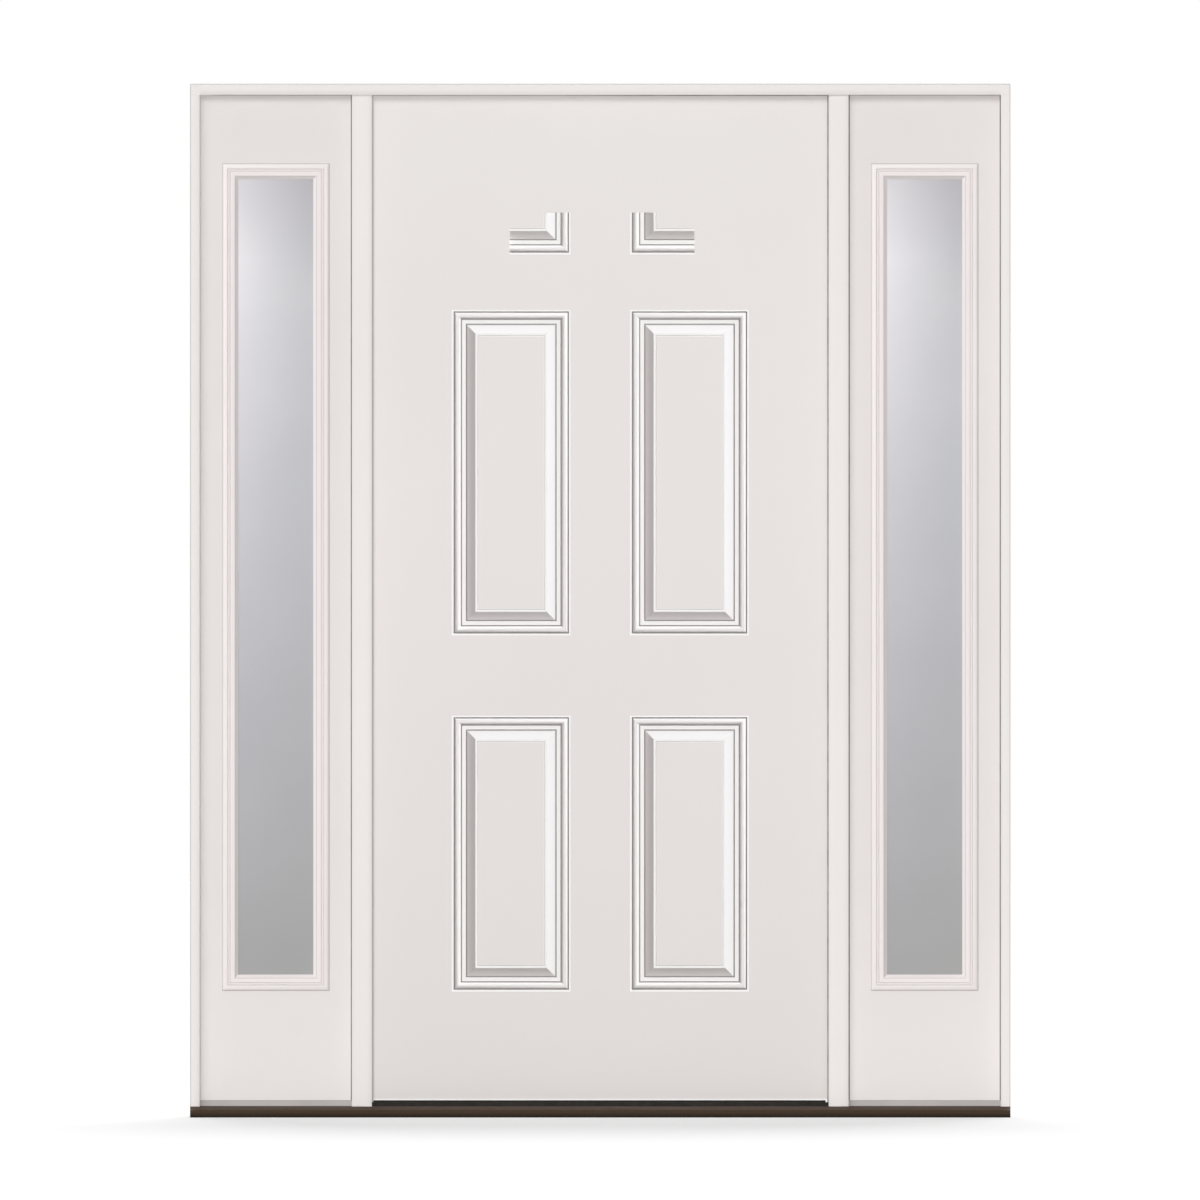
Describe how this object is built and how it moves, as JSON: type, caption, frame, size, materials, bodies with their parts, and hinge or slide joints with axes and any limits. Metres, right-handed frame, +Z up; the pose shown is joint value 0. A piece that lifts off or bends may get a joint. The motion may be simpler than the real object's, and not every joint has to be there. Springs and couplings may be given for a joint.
{
  "type": "entry door with sidelights",
  "caption": "White panelled entry door swinging inward in a slim frame, with a narrow glazed sidelight at each side and a dark metal-covered sill.",
  "frame": {"origin": "middle of the sill's underside, halfway through the frame's depth", "axes": "+X to the right as seen from outside, +Y into the house, +Z up"},
  "size_m": [1.645, 0.1275, 2.0705],
  "materials": {
    "frame_paint": "warm white paint, satin",
    "door_paint": "warm white paint, satin",
    "sidelight_paint": "warm white paint, satin",
    "lite_frame": "warm white moulding, satin",
    "satin_glass": "satin grey",
    "spacer_bar": "mill finish",
    "bronze_sill": "dark bronze anodised",
    "sill_timber": "raw timber",
    "black_rubber": "matte black",
    "grey_filler": "grey, matte",
    "edge_timber": "white paint over timber",
    "foam": "rigid foam",
    "hinge_steel": "satin nickel"
  },
  "bodies": {
    "frame": {"bottom_hinge_jamb_leaf": "hinge_steel", "bottom_hinge_pin": "hinge_steel", "door_weatherstrip": "black_rubber", "head_jamb": "frame_paint", "left_glazing_spacer": "spacer_bar", "left_inner_lite_frame": "lite_frame", "left_inner_pane": "satin_glass", "left_jamb": "frame_paint", "left_mullion": "frame_paint", "left_outer_lite_frame": "lite_frame", "left_outer_pane": "satin_glass", "left_sidelight_filler": "grey_filler", "left_sidelight_frame": "edge_timber", "left_sidelight_inner_skin": "sidelight_paint", "left_sidelight_outer_skin": "sidelight_paint", "middle_hinge_jamb_leaf": "hinge_steel", "middle_hinge_pin": "hinge_steel", "right_glazing_spacer": "spacer_bar", "right_inner_lite_frame": "lite_frame", "right_inner_pane": "satin_glass", "right_jamb": "frame_paint", "right_mullion": "frame_paint", "right_outer_lite_frame": "lite_frame", "right_outer_pane": "satin_glass", "right_sidelight_filler": "grey_filler", "right_sidelight_frame": "edge_timber", "right_sidelight_inner_skin": "sidelight_paint", "right_sidelight_outer_skin": "sidelight_paint", "sill_base": "sill_timber", "sill_cover": "bronze_sill", "threshold_bumper": "black_rubber", "top_hinge_jamb_leaf": "hinge_steel", "top_hinge_pin": "hinge_steel"},
    "leaf": {"bottom_hinge_door_leaf": "hinge_steel", "door_bottom_rail": "edge_timber", "door_foam_core": "foam", "door_hinge_stile": "edge_timber", "door_inner_skin": "door_paint", "door_latch_stile": "edge_timber", "door_outer_skin": "door_paint", "door_sweep": "black_rubber", "door_top_rail": "edge_timber", "middle_hinge_door_leaf": "hinge_steel", "top_hinge_door_leaf": "hinge_steel"}
  },
  "joints": [
    {"name": "leaf_swing", "type": "hinge", "parent": "frame", "child": "leaf", "pos_m": [-0.4635, 0.0495, 0], "axis": [0, 0, 1], "range_deg": [0, 180]}
  ]
}
